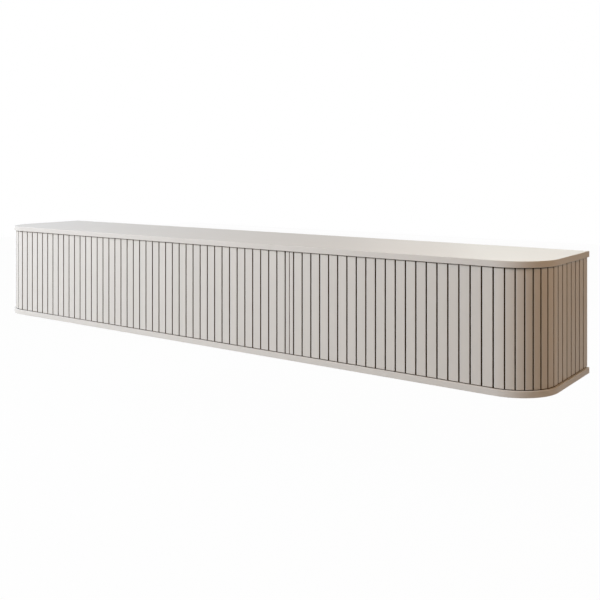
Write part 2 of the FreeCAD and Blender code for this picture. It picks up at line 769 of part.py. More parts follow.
def build_carcase():
    """Everything that stays on the wall."""
    cams, bolts, dowels, pockets = [], [], [], {}
    for number, x in enumerate(upright_centre_x):
        cam_side = -1 if x > 0 else 1           # the cams face the middle of the console
        more_cams, more_bolts, more_dowels = upright_fixings(x, cam_side)
        cams += more_cams
        bolts += more_bolts
        dowels += more_dowels
        pockets[number] = cam_pockets(x, cam_side)

    down = Vector(0, 0, -1)
    studs, brackets, bracket_screws, floor_bores = [], [], [], []
    latches, latch_fixings, roof_bores = [], [], []
    bracket_run = 16.0
    latch_run = 14.0
    for bay in bays:
        studs.append(fixed_stud(bay["left_face"], 1))
        studs.append(fixed_stud(bay["right_face"], -1))
        for x in bay["hinges"]:
            bores = [screw_blank(place, down, bracket_run) for place in hinge_bracket_screws(x)]
            bracket_screws += [screw(place, down, bracket_run) for place in hinge_bracket_screws(x)]
            brackets.append(without(hinge_bracket(x), bores))
            floor_bores += bores
        places = latch_screws(bay["middle"])
        bores = [screw_blank(place, up_way, latch_run) for place in places]
        latch_fixings += [screw(place, up_way, latch_run) for place in places]
        latches.append(without(latch_body(bay["middle"]), bores))
        roof_bores += bores

    rail_screws, rail_bores = [], []
    rail_run = 17.0
    forward = Vector(0, -1, 0)
    for bay in bays:
        first = bay["left_face"] + rail_screw_margin
        step = (bay["right_face"] - rail_screw_margin - first) / (rail_screws_per_bay - 1)
        for number in range(rail_screws_per_bay):
            place = Vector(first + number * step, upright_back_y + rail_thick, rail_screw_z)
            rail_screws.append(screw(place, forward, rail_run))
            rail_bores.append(screw_blank(place, forward, rail_run))

    save("bottom_slab", [without(slab(underside_z), bolts + dowels + floor_bores)])
    save("top_slab", [without(slab(roof_z), bolts + dowels + roof_bores)])
    for number, name in enumerate(upright_names):
        save(name, [upright(number, pockets[number] + bolts + dowels + studs)])
    for bay in bays:
        save(bay["name"] + "_back_panel", [back_panel(bay)])
    save("rear_stretchers", [without(stretcher(bay), rail_bores) for bay in bays])
    save("cable_grommets", [grommet(bay["middle"]) for bay in bays])
    save("wall_rail", [wall_rail()])
    save("hanging_rail", [without(hanging_rail(), rail_bores)])
    save("hanging_rail_screws", rail_screws)
    save("cam_locks", cams)
    save("cam_bolts", bolts)
    save("dowels", dowels)
    save("stay_studs", studs)
    save("hinge_brackets", brackets)
    save("hinge_bracket_screws", bracket_screws)
    save("latch_bodies", latches)
    save("latch_screws", latch_fixings)
    save("bumper_pads", bumper_pads())


def build_ends():
    """Rounded ends: shell, slats, ribs and back cover, built on the right and mirrored."""
    shell = skin_block(end_seam_x + seam_gap / 2, skin_end, slat_thick, slat_thick + board_thick,
                       (floor_z, roof_z))
    grooves = corner_grooves() + side_grooves()[1:]
    widths = end_groove_widths()
    slats = []
    for near, far, near_width, far_width in zip(grooves, grooves[1:], widths, widths[1:]):
        slats.append(slat(near + near_width / 2, far - far_width / 2))
    ribs = [end_rib(lift) for lift in rib_levels]
    cover = block((end_seam_x + end_upright_reach, face_x - slat_thick - board_thick),
                  (back_front_y, back_rear_y), (floor_z, roof_z))
    nodes = {"end_shell": [shell], "end_slats": slats, "end_ribs": ribs, "end_back_cover": [cover]}
    for name, solids in nodes.items():
        save("right_" + name, solids)
        save("left_" + name, [mirrored(solid) for solid in solids])


build_carcase()
build_ends()
for bay in bays:
    build_flap(bay)
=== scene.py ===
import math
import random

import bmesh
import bpy
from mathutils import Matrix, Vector


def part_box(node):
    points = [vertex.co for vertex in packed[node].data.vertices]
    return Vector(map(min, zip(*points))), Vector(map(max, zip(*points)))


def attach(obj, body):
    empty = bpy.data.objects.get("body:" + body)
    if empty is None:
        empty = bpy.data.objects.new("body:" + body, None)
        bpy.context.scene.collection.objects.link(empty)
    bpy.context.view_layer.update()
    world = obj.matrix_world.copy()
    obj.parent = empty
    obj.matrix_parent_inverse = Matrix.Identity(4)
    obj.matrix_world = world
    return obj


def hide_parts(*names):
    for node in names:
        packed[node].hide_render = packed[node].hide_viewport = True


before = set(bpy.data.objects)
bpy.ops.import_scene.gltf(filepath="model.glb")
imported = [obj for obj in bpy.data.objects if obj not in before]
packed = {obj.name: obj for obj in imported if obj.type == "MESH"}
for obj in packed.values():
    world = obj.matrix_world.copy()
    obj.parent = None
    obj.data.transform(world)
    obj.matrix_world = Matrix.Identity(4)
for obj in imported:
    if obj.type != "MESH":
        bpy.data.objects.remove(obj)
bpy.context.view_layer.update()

# A wall-hung media console. Metres, +X along its length, +Y into the wall, +Z up. The origin is on
# the wall, at the middle of the wall rail's row of screw holes.


# ---------------------------------------------------------------- wall rail
# An aluminium extrusion, screwed to the wall through six holes. The console hangs on its upturned
# lip. It is left as it comes from the die, so fine drawing lines run along it between dull bands.

class Wire:
    """Output socket of a node. Arithmetic on wires adds the nodes that work it out."""

    def __init__(self, tree, socket):
        self.tree = tree
        self.socket = socket

    def worked(self, operation, first, second):
        """Math for numbers, Vector Math as soon as one term is a colour or a vector."""
        kinds = [term.socket.type if isinstance(term, Wire) else type(term) for term in (first, second)]
        numbers = all(kind in ("VALUE", int, float) for kind in kinds)
        kind = "Math" if numbers else "VectorMath"
        return self.tree.node(kind, {"operation": operation}, {0: first, 1: second})

    def __add__(self, other):
        return self.worked("ADD", self, other)

    def __radd__(self, other):
        return self.worked("ADD", other, self)

    def __sub__(self, other):
        return self.worked("SUBTRACT", self, other)

    def __rsub__(self, other):
        return self.worked("SUBTRACT", other, self)

    def __mul__(self, other):
        return self.worked("MULTIPLY", self, other)

    def __rmul__(self, other):
        return self.worked("MULTIPLY", other, self)


class Tree:
    """A node tree that is written as Python."""

    def __init__(self, node_tree):
        self.nodes = node_tree.nodes
        self.links = node_tree.links

    def feed(self, socket, value):
        """Fills a socket from a wire, or with a number, a colour or a vector."""
        if isinstance(value, Wire):
            self.links.new(value.socket, socket)
        elif socket.type == "RGBA":
            socket.default_value = (*value, 1)
        elif socket.type == "VECTOR" and not isinstance(value, tuple):
            socket.default_value = (value, value, value)
        else:
            socket.default_value = value

    def node(self, kind, settings=(), sockets=(), out=0):
        """Adds a node, changes its settings, then fills its sockets, and gives one of its outputs."""
        node = self.nodes.new("ShaderNode" + kind)
        for name, value in dict(settings).items():
            setattr(node, name, value)
        for name, value in dict(sockets).items():
            self.feed(node.inputs[name], value)
        return Wire(self, node.outputs[out])

    def mixed(self, share, first, second):
        """Colour between two others."""
        return self.node("Mix", {"data_type": "RGBA"}, {0: share, 6: first, 7: second}, out=2)


class Finish(Tree):
    """A material. Its patterns lie in the console's own frame, and their sizes are in metres."""

    def __init__(self, name):
        self.material = bpy.data.materials.new(name)
        self.material.use_nodes = True
        super().__init__(self.material.node_tree)
        self.shader = self.nodes["Principled BSDF"]
        self.place = self.node("TexCoord", out="Object")

    def attribute(self, name):
        """A number that the mesh carries on its faces."""
        return self.node("Attribute", {"attribute_name": name}, out="Fac")

    def along(self, way):
        """Distance along one way, a unit vector."""
        return self.node("VectorMath", {"operation": "DOT_PRODUCT"}, {0: self.place, 1: way}, out="Value")

    def noise(self, size, stretch=(1, 1, 1), detail=2.0, place=None):
        """Soft random pattern round 0.5, its lumps size across and drawn out by stretch."""
        scale = tuple(1 / (size * drawn) for drawn in stretch)
        where = (place or self.place) * scale
        return self.node("TexNoise", {}, {"Vector": where, "Scale": 1.0, "Detail": detail})

    def ranged(self, wire, low, high, first=0.0, last=1.0):
        """Brings low to first and high to last, and holds what lies outside."""
        ends = {"Value": wire, "From Min": low, "From Max": high, "To Min": first, "To Max": last}
        return self.node("MapRange", {}, ends)

    def show(self, colour, roughness, height=None, metallic=0.0):
        """Feeds the shader. height is the relief of the surface in metres."""
        self.feed(self.shader.inputs["Base Color"], colour)
        self.feed(self.shader.inputs["Roughness"], roughness)
        self.feed(self.shader.inputs["Metallic"], metallic)
        if height:
            relief = self.node("Bump", {}, {"Strength": 1.0, "Distance": 1.0, "Height": height}, out="Normal")
            self.feed(self.shader.inputs["Normal"], relief)
        return self

    def covered(self, share, colour, roughness, gloss):
        """Lays another paint over the finish, wherever share is 1."""
        shine = {"Base Color": colour, "Roughness": roughness, "Specular IOR Level": gloss}
        coat = self.node("BsdfPrincipled", {}, shine)
        both = {0: share, 1: Wire(self, self.shader.outputs[0]), 2: coat}
        self.feed(self.nodes["Material Output"].inputs["Surface"], self.node("MixShader", {}, both))


handling_cloud = 0.025          # across one of the dull clouds that handling leaves
speck_size = 0.0016


def metal(name, colour, roughness, line_size, stretch, line_depth):
    """Bare or plated metal, with lines along the way it was worked and duller clouds across it."""
    made = Finish(name)
    lines = made.noise(line_size, stretch, detail=3.0)
    cloud = made.noise(handling_cloud, detail=3.0)
    specks = made.ranged(made.noise(speck_size, detail=3.0), 0.60, 0.70)
    eased_face = made.attribute("eased_face")
    shade = 0.80 + 0.22 * lines + 0.18 * cloud + 0.10 * eased_face - 0.10 * specks
    dullness = roughness - 0.12 + 0.14 * cloud + 0.10 * lines + 0.10 * specks - 0.06 * eased_face
    return made.show(shade * colour, dullness, line_depth * lines, metallic=1.0)


weld = 1e-6                     # points closer than this are one
one_plane = math.radians(1)     # faces closer in direction than this are one
eased_from = math.radians(40)   # flatter edges are left alone


def eased(node, width, steps=2):
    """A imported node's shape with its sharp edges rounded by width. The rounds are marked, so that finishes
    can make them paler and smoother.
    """
    build = bmesh.new()
    build.from_mesh(packed[node].data)
    eased_face = build.faces.layers.float.new("eased_face")
    bmesh.ops.remove_doubles(build, verts=build.verts, dist=weld)
    bmesh.ops.dissolve_limit(build, angle_limit=one_plane, verts=build.verts, edges=build.edges)
    sharp = [edge for edge in build.edges if edge.is_manifold and edge.calc_face_angle() > eased_from]
    rounds = bmesh.ops.bevel(build, geom=sharp, offset=width, segments=steps, profile=0.5,
                             affect="EDGES", clamp_overlap=True)
    for face in rounds["faces"]:
        face[eased_face] = 1
    return build


crisp_from = math.radians(50)   # sharper edges are shaded as crisp ones
largest_face = 100              # weight at which a point is shaded as its largest face


def new_piece(name, build, body, slot, finish, *stands_for):
    """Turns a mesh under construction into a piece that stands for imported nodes."""
    bmesh.ops.recalc_face_normals(build, faces=build.faces)
    mesh = bpy.data.meshes.new(name)
    build.to_mesh(mesh)
    build.free()
    mesh.shade_smooth()
    mesh.set_sharp_from_angle(angle=crisp_from)
    mesh.materials.clear()
    mesh.materials.append(finish.material)
    piece = bpy.data.objects.new(name, mesh)
    bpy.context.collection.objects.link(piece)
    flat_faces = piece.modifiers.new("flat_faces", "WEIGHTED_NORMAL")
    flat_faces.weight = largest_face
    flat_faces.keep_sharp = True
    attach(piece, body)
    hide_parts(*stands_for)


rail_edge = 0.0003
aluminium = metal("mill_aluminium", colour=(0.60, 0.61, 0.62), roughness=0.36,
                  line_size=0.0006, stretch=(300, 1, 1), line_depth=4e-6)
new_piece("wall_rail_extrusion", eased("wall_rail", rail_edge), "carcase", "aluminium", aluminium,
          "wall_rail")


# ---------------------------------------------------------------- slabs
# Top and bottom are 18 mm fibreboard of one outline, round at the front corners. They are sprayed
# with satin lacquer, but the back edge is left bare. Facing the slats' ends, both carry a band of
# dark brown painted shade, so that the shadow gaps read as dark lines.

corner_round = 0.131
slab_edge_round = 0.0012
lacquer_colour = (0.62, 0.58, 0.53)
lacquer_gloss = 0.12
lacquer_cloud = 0.30
lacquer_patch = 0.02
paler_edge_patch = 0.012
peel_size = 0.0028
peel_height = 6e-6
wave_size = 0.06
wave_height = 4e-5
board_colour = (0.42, 0.32, 0.22)
fibre_paler = 1.5
fibre_size = 0.0007
fibre_height = 2e-5
lacquer_end = 0.0006            # from the wall, where the lacquer starts to thin out
board_start = 0.0003            # from the wall, where the board is quite bare
# Painted shade: a dead matt dark brown laid where only shade falls, in the grooves and the shadow gaps.
painted_shade_colour = (0.078, 0.042, 0.010)
painted_shade_gloss = 0.02
painted_shade_cloud = 0.08
stipple_size = 0.0014
gap_shade_start = 0.0075             # from the slabs' edge, just behind the slats' faces
gap_shade_end = 0.031
mask_soft = 0.0004              # how softly the painted shade ends in the lacquer


def lacquer(name):
    """Satin lacquer: orange peel, slow waves in the board, faint rubbing marks, and eased edges painted paler
    in patches, partly as rubbed wear and partly as a painted highlight.
    """
    made = Finish(name)
    tone = made.attribute("tone")
    eased_face = made.attribute("eased_face")
    cloud = made.noise(lacquer_cloud, detail=3.0)
    patch = made.noise(lacquer_patch, detail=3.0)
    peel = made.noise(peel_size, detail=1.0)
    wave = made.noise(wave_size, detail=1.0)
    # Eased edges painted paler in patches: partly rubbed wear, partly a painted highlight.
    paler_edges = eased_face * made.ranged(made.noise(paler_edge_patch, detail=4.0), 0.40, 0.65)
    shade = 0.965 + 0.05 * cloud + 0.02 * patch + 0.012 * tone + 0.07 * paler_edges
    sheen = 0.37 + 0.07 * cloud + 0.06 * patch - 0.05 * eased_face
    relief = peel_height * peel + wave_height * wave
    made.feed(made.shader.inputs["Specular IOR Level"], lacquer_gloss)
    return made, shade, sheen, relief


slab_lacquer, slab_shade, slab_sheen, slab_relief = lacquer("satin_lacquer_slabs_painted_shade")
wall_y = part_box("top_slab")[1].y
bare = slab_lacquer.ranged(slab_lacquer.along((0, 1, 0)), wall_y - lacquer_end, wall_y - board_start)
fibre = slab_lacquer.noise(fibre_size, (3, 3, 1), detail=4.0)
pale_fibre = tuple(fibre_paler * part for part in board_colour)
fibre_colour = slab_lacquer.mixed(fibre, board_colour, pale_fibre)
slab_lacquer.show(
    slab_lacquer.mixed(bare, slab_shade * lacquer_colour, fibre_colour),
    slab_sheen + 0.4 * bare,
    slab_relief + fibre_height * (bare * fibre),
)


def painted_shade(made):
    """Colour and roughness of the painted shade: dead matt dark brown with a fine stipple, paler on eased
    faces.
    """
    stipple = made.noise(stipple_size, detail=2.0)
    cloud = made.noise(painted_shade_cloud, detail=3.0)
    shade = 0.80 + 0.30 * cloud + 0.15 * stipple + 0.4 * made.attribute("eased_face")
    return shade * painted_shade_colour, 0.80 + 0.15 * stipple


def beyond(made, reach, limit):
    """How far reach is over limit, and 0 below it."""
    return made.node("Math", {"operation": "MAXIMUM"}, {0: reach - limit, 1: 0.0})


def inset_from(made, end_x, front_y, radius):
    """How far a place lies inside an outline that is round at both front corners, seen from above."""
    sideways = made.node("Math", {"operation": "ABSOLUTE"}, {0: made.along((1, 0, 0))})
    past_round = made.node("CombineXYZ", {}, {
        0: beyond(made, sideways, end_x - radius),
        1: beyond(made, made.along((0, -1, 0)), -front_y - radius)})
    return radius - made.node("VectorMath", {"operation": "LENGTH"}, {0: past_round}, out="Value")


# A band of painted shade on the slab faces inside the shadow gaps, just behind the slats' faces.
gap_floor, gap_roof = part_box("bottom_slab")[1].z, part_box("top_slab")[0].z
from_edge = inset_from(slab_lacquer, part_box("top_slab")[1].x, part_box("top_slab")[0].y, corner_round)
height = slab_lacquer.along((0, 0, 1))
facing = slab_lacquer.ranged(height, gap_floor - 2 * mask_soft, gap_floor - mask_soft)
facing = facing - slab_lacquer.ranged(height, gap_roof + mask_soft, gap_roof + 2 * mask_soft)
gap_shade_band = slab_lacquer.ranged(from_edge, gap_shade_start, gap_shade_start + mask_soft)
gap_shade_band = gap_shade_band - slab_lacquer.ranged(from_edge, gap_shade_end, gap_shade_end + mask_soft)
slab_lacquer.covered(gap_shade_band * facing, *painted_shade(slab_lacquer), painted_shade_gloss)


def rims(radius, low, high, steps=5):
    """Rings of an upright piece with both ends rounded, as how far each is drawn in and its height."""
    angles = [step / steps * math.pi / 2 for step in range(steps + 1)]
    lower = [(radius * (1 - math.sin(turn)), low + radius * (1 - math.cos(turn))) for turn in angles]
    return lower + [(pull, low + high - z) for pull, z in reversed(lower)]


def add_stack(build, rings, rounded, tone=0.0, groove_shade=lambda place: 0.0, ends_shade=0.0):
    """Skins a stack of outlines of equal point counts and closes both ends.

    rounded(level, place) tells which faces belong to a rounded edge. The function after it gives the
    share of painted shade on each column of faces, by place, where it lies in a groove, and the last
    number the share of painted shade on both ends."""
    layers = build.faces.layers.float
    for name in ("eased_face", "tone", "groove"):
        if layers.get(name) is None:
            layers.new(name)
    rows = [[build.verts.new(point) for point in ring] for ring in rings]
    made = [build.faces.new(rows[0][::-1]), build.faces.new(rows[-1])]
    for face in made:
        face[layers["groove"]] = ends_shade
    for level, (below, above) in enumerate(zip(rows, rows[1:])):
        for place in range(len(below)):
            following = (place + 1) % len(below)
            face = build.faces.new((below[place], below[following], above[following], above[place]))
            face[layers["eased_face"]] = rounded(level, place)
            face[layers["groove"]] = groove_shade(place)
            made.append(face)
    for face in made:
        face[layers["tone"]] = tone


def slab_outline(pull, low, high, steps=40):
    """Outline of a slab, drawn in by pull everywhere but at the wall, from the back left corner."""
    radius = corner_round - pull
    points = [(low.x + pull, high.y)]
    for side, start in ((-1, math.pi), (1, 1.5 * math.pi)):
        for step in range(steps + 1):
            turn = start + step / steps * math.pi / 2
            x = side * (high.x - corner_round) + radius * math.cos(turn)
            points.append((x, low.y + corner_round + radius * math.sin(turn)))
    return points + [(high.x - pull, high.y)]


for node in ("bottom_slab", "top_slab"):
    low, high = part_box(node)
    stack = rims(slab_edge_round, low.z, high.z)
    rings = [[(x, y, z) for x, y in slab_outline(pull, low, high)] for pull, z in stack]
    side_level = len(stack) // 2 - 1
    back_place = len(rings[0]) - 1
    build = bmesh.new()
    add_stack(build, rings, lambda level, place: level != side_level and place != back_place)
    new_piece(node + "_board", build, "carcase", "lacquer", slab_lacquer, node)


# ---------------------------------------------------------------- uprights
# Two inner sides and two dividers carry the slabs. They are 18 mm chipboard faced with off-white
# melamine. A thin band is glued on the front edge, and the back edge is left bare.

melamine_colour = (0.60, 0.565, 0.52)
melamine_cloud = 0.15
pearl_size = 0.0011
pearl_height = 7e-6
chip_colour = (0.48, 0.37, 0.25)
chips_per_metre = 420.0
chip_stretch = (1, 1, 0.5)      # a chip is twice as long upright
chip_height = 8e-5
melamine_end = 0.0004           # from the back edge
chips_start = 0.0002            # from the back edge, where the chips are quite bare
band_thick = 0.0010
glue_line = 0.0002


def melamine(name, front_y, back_y):
    """Melamine with a fine pearl. Bare chips show at the back edge, a glue line behind the band."""
    made = Finish(name)
    depth = made.along((0, 1, 0))
    bare = made.ranged(depth, back_y - melamine_end, back_y - chips_start)
    behind_band = made.ranged(depth, front_y + band_thick, front_y + band_thick + glue_line)
    past_glue = made.ranged(depth, front_y + band_thick + glue_line, front_y + band_thick + 2 * glue_line)
    glue = behind_band - past_glue
    pearl = made.noise(pearl_size, detail=2.0)
    cloud = made.noise(melamine_cloud, detail=3.0)
    cells = {"Vector": made.place * chip_stretch, "Scale": chips_per_metre}
    chips = made.node("TexVoronoi", {}, cells, out="Color")
    chip_shade = made.node("SeparateColor", {}, {0: chips}, out=0)
    eased_face = made.attribute("eased_face")
    face = (0.97 + 0.03 * cloud + 0.02 * pearl + 0.04 * eased_face - 0.35 * glue) * melamine_colour
    chipboard = (0.55 + 0.8 * chip_shade) * chip_colour
    return made.show(
        made.mixed(bare, face, chipboard),
        0.40 + 0.08 * cloud + 0.10 * pearl + 0.35 * bare,
        pearl_height * pearl + chip_height * (bare * chip_shade),
    )


panel_edge = 0.0004
upright_low, upright_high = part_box("left_divider")
upright_melamine = melamine("melamine_uprights", upright_low.y, upright_high.y)
for node in ("left_inner_side", "left_divider", "right_divider", "right_inner_side"):
    new_piece(node + "_panel", eased(node, panel_edge), "carcase", "carcase_board", upright_melamine, node)


# ---------------------------------------------------------------- dowels, cam bolts and cam locks
# Each upright is fixed to both slabs by two glued beech dowels and two cam bolts. The dowels are
# fluted for the glue. A die-cast cam in the upright's face grips each bolt's head.

beech_colour = (0.58, 0.36, 0.20)
beech_dark = (0.34, 0.18, 0.09)
beech_grain_size = 0.0004
beech_grain_height = 2e-5
fleck_size = 0.0009
beech = Finish("beech")
beech_grain = beech.noise(beech_grain_size, (1, 1, 30), detail=3.0)
beech_flecks = beech.ranged(beech.noise(fleck_size, (1, 1, 3), detail=2.0), 0.58, 0.66)
beech.show(
    beech.mixed(0.55 * beech_grain + 0.35 * beech_flecks, beech_colour, beech_dark),
    0.55 + 0.15 * beech_grain,
    beech_grain_height * beech_grain,
)
zinc = metal("cast_zinc", colour=(0.60, 0.60, 0.62), roughness=0.46,
             line_size=0.0008, stretch=(1, 1, 1), line_depth=1.2e-5)
steel = metal("plated_steel", colour=(0.66, 0.67, 0.68), roughness=0.38,
              line_size=0.0005, stretch=(1, 1, 12), line_depth=4e-6)

round_steps = 24


def add_turned(build, profile, start, way, radius_at=lambda turn: 1.0, steps=round_steps):
    """Adds a turned piece. profile is radius and distance along way from start, a list of rings."""
    side = way.orthogonal().normalized()
    other = way.cross(side)
    rings = []
    for radius, reach in profile:
        ring = []
        for step in range(steps):
            turn = 2 * math.pi * step / steps
            out = radius * radius_at(turn) * (math.cos(turn) * side + math.sin(turn) * other)
            ring.append(start + reach * way + out)
        rings.append(ring)
    radii = [radius for radius, _ in profile]
    add_stack(build, rings, lambda level, place: radii[level] != radii[level + 1])


def solid_boxes(node):
    """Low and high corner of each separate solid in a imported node, from left to right."""
    build = bmesh.new()
    build.from_mesh(packed[node].data)
    bmesh.ops.remove_doubles(build, verts=build.verts, dist=weld)
    boxes = []
    waiting = set(build.verts)
    while waiting:
        solid, reached = set(), [waiting.pop()]
        while reached:
            vert = reached.pop()
            solid.add(vert)
            near = {edge.other_vert(vert) for edge in vert.link_edges} & waiting
            waiting -= near
            reached.extend(near)
        low = Vector([min(vert.co[axis] for vert in solid) for axis in range(3)])
        high = Vector([max(vert.co[axis] for vert in solid) for axis in range(3)])
        boxes.append((low, high))
    build.free()
    return sorted(boxes, key=lambda corners: tuple(round(value, 4) for value in corners[0]))


dowel_radius = 0.004
dowel_chamfer = 0.001
flute_count = 12
flute_depth = 0.08              # of the radius
flute_steps = 8                 # faces to a flute
build = bmesh.new()
for low, high in solid_boxes("dowels"):
    run = high.z - low.z
    middle = Vector(((low.x + high.x) / 2, (low.y + high.y) / 2, low.z))
    profile = [(dowel_radius - dowel_chamfer, 0), (dowel_radius, dowel_chamfer),
               (dowel_radius, run - dowel_chamfer), (dowel_radius - dowel_chamfer, run)]
    add_turned(build, profile, middle, Vector((0, 0, 1)),
               lambda turn: 1 - flute_depth * (1 + math.cos(flute_count * turn)) / 2,
               flute_steps * flute_count)
new_piece("fluted_dowels", build, "carcase", "beech", beech, "dowels")

bolt_radius = 0.003
bolt_thread_run = 0.011
thread_pitch = 0.0018
thread_root = 0.0022
thread_flank = 0.4              # of a pitch, from root to crest
first_root = 0.3                # of a pitch, from the tip
tip_share = 0.8                 # of the root
collar_run = 0.0012
shank_start = 0.0015            # from the thread
shank_radius = 0.0024
neck_radius = 0.0016
neck_run = 0.004
neck_slope = 0.0006
bolt_head_run = 0.004
head_chamfer = 0.0008
head_foot_share = 0.95          # of the bolt's radius, and the next too
head_tip_share = 0.6
roof_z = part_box("top_slab")[0].z
build = bmesh.new()
for low, high in solid_boxes("cam_bolts"):
    run = high.z - low.z
    in_bottom = high.z < roof_z
    inward = Vector((0, 0, 1 if in_bottom else -1))
    foot_z = low.z if in_bottom else high.z
    profile = [(tip_share * thread_root, 0)]
    for turn in range(int(bolt_thread_run / thread_pitch)):
        reach = (turn + first_root) * thread_pitch
        profile += [(thread_root, reach), (bolt_radius, reach + thread_flank * thread_pitch)]
    head_start = run - bolt_head_run
    neck_start = head_start - neck_run
    profile += [(bolt_radius, bolt_thread_run), (bolt_radius, bolt_thread_run + collar_run),
                (shank_radius, bolt_thread_run + shank_start), (shank_radius, neck_start),
                (neck_radius, neck_start + neck_slope), (neck_radius, head_start - neck_slope),
                (head_foot_share * bolt_radius, head_start), (bolt_radius, head_start + head_chamfer),
                (bolt_radius, run - head_chamfer), (head_tip_share * bolt_radius, run)]
    add_turned(build, profile, Vector(((low.x + high.x) / 2, (low.y + high.y) / 2, foot_z)), inward)
new_piece("cam_bolts_turned", build, "carcase", "steel", steel, "cam_bolts")
cam_edge = 0.0003
new_piece("cam_locks_cast", eased("cam_locks", cam_edge), "carcase", "zinc", zinc, "cam_locks")


# ---------------------------------------------------------------- stretchers and ribs
# Birch plywood stretchers under the top slab take the hanging rail's screws. Plywood ribs hold
# each rounded end shell to its inner side. The plywood is sanded and left bare.

veneer = 0.0014
veneer_joint = 4.2e-5           # how far one veneer runs into the next, either way
veneer_glue = 8.4e-5            # how far the glue between them stains, either way
birch_colour = (0.62, 0.47, 0.31)
birch_dark = (0.44, 0.29, 0.16)
birch_grain_size = 0.0011
birch_pore_depth = 3e-5
birch_cloud = 0.05


def plywood(name, thickness_way, grain_stretch, cross_stretch):
    """Bare birch plywood. Its veneers lie across thickness_way, every other one turned."""
    made = Finish(name)
    layers = made.node("Math", {"operation": "PINGPONG"}, {0: made.along(thickness_way), 1: veneer})
    joint = veneer / 2
    turned_layer = made.ranged(layers, joint - veneer_joint, joint + veneer_joint)
    glue = made.ranged(layers, joint - veneer_glue, joint)
    glue = glue - made.ranged(layers, joint, joint + veneer_glue)
    grain = made.noise(birch_grain_size, grain_stretch, detail=4.0)
    crossed = made.noise(birch_grain_size, cross_stretch, detail=4.0)
    pores = grain + turned_layer * (crossed - grain)
    cloud = made.noise(birch_cloud, grain_stretch, detail=3.0)
    share = made.ranged(0.7 * pores + 0.3 * cloud, 0.30, 0.72) + 0.28 * turned_layer + 0.35 * glue
    return made.show(
        made.mixed(made.ranged(share, 0.0, 1.3), birch_colour, birch_dark),
        0.52 + 0.14 * pores,
        birch_pore_depth * pores,
    )


stretcher_ply = plywood("birch_ply_stretchers", thickness_way=(0, 1, 0),
                        grain_stretch=(30, 1, 1), cross_stretch=(1, 1, 30))
rib_ply = plywood("birch_ply_ribs", thickness_way=(0, 0, 1),
                  grain_stretch=(1, 30, 1), cross_stretch=(30, 1, 1))
new_piece("rear_stretchers_ply", eased("rear_stretchers", panel_edge), "carcase", "plywood", stretcher_ply,
          "rear_stretchers")
for side in ("left", "right"):
    node = side + "_end_ribs"
    new_piece(node + "_ply", eased(node, panel_edge), "carcase", "plywood", rib_ply, node)


# ---------------------------------------------------------------- back panels and end back covers
# 8 mm melamine-faced panels close the three bays and the hollow ends. They are glued and pinned
# between the slabs. Their edges are cut square and left bare.

leaves = ("left", "middle", "right")    # the bays, and the flaps that close them
out_of_reach = 1.0              # no band and no bare edge on these panels' faces
back_melamine = melamine("melamine_backs", -out_of_reach, out_of_reach)
for leaf in leaves:
    node = leaf + "_back_panel"
    new_piece(node + "_faced", eased(node, panel_edge), "carcase", "carcase_board", back_melamine, node)
for side in ("left", "right"):
    node = side + "_end_back_cover"
    new_piece(node + "_faced", eased(node, panel_edge), "carcase", "carcase_board", back_melamine, node)


# ---------------------------------------------------------------- cable grommets
# Moulded black rings, one in each back panel, pressed into a 64 mm hole. The flange is domed at
# its rim and the bore is open for plugs. The mould leaves a fine spark-eroded texture.

mould_cloud = 0.02


def moulded(name, colour, roughness, texture_size, texture_depth):
    """Moulded plastic with a fine even texture, a little shinier where it is rubbed."""
    made = Finish(name)
    texture = made.noise(texture_size, detail=2.0)
    cloud = made.noise(mould_cloud, detail=2.0)
    eased_face = made.attribute("eased_face")
    return made.show(
        (0.85 + 0.25 * cloud + 0.35 * eased_face) * colour,
        roughness + 0.12 * texture + 0.06 * cloud - 0.08 * eased_face,
        texture_depth * texture,
    )


black_plastic = moulded("black_plastic", colour=(0.022, 0.022, 0.024), roughness=0.42,
                        texture_size=0.0005, texture_depth=1.4e-5)
grommet_bore = 0.027
grommet_sleeve = 0.032
grommet_flange = 0.036
flange_thick = 0.002
flange_round = 0.0012
bore_round = 0.0005
grommet_steps = 72


def add_ring(build, profile, centre, steps):
    """Adds a ring about an axis along +Y. profile is a closed outline of radius and distance along it."""
    worn_layer = build.faces.layers.float.get("eased_face") or build.faces.layers.float.new("eased_face")
    rows = []
    for step in range(steps):
        turn = 2 * math.pi * step / steps
        out = Vector((math.cos(turn), 0, math.sin(turn)))
        places = [centre + radius * out + Vector((0, reach, 0)) for radius, reach in profile]
        rows.append([build.verts.new(place) for place in places])
    for near, far in zip(rows, rows[1:] + rows[:1]):
        for place, (radius, reach) in enumerate(profile):
            following = (place + 1) % len(profile)
            face = build.faces.new((near[place], near[following], far[following], far[place]))
            face[worn_layer] = radius != profile[following][0] and reach != profile[following][1]


def quarter(centre_radius, centre_reach, radius, start, steps=4):
    """Quarter circle of a ring's outline, from an angle in degrees."""
    points = []
    for step in range(steps + 1):
        turn = math.radians(start + 90 * step / steps)
        points.append((centre_radius + radius * math.cos(turn), centre_reach + radius * math.sin(turn)))
    return points


build = bmesh.new()
for leaf in leaves:
    low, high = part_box(leaf + "_back_panel")
    grommet_low, grommet_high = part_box("cable_grommets")
    centre = Vector(((low.x + high.x) / 2, grommet_low.y, (grommet_low.z + grommet_high.z) / 2))
    sleeve_end = grommet_high.y - grommet_low.y
    profile = quarter(grommet_bore + bore_round, bore_round, bore_round, 180)
    profile += quarter(grommet_flange - flange_round, flange_round, flange_round, 270)
    profile += [(grommet_flange, flange_thick), (grommet_sleeve, flange_thick)]
    profile += quarter(grommet_sleeve - bore_round, sleeve_end - bore_round, bore_round, 0)
    profile += quarter(grommet_bore + bore_round, sleeve_end - bore_round, bore_round, 90)
    add_ring(build, profile, centre, grommet_steps)
new_piece("cable_grommet_rings", build, "carcase", "black_plastic", black_plastic, "cable_grommets")


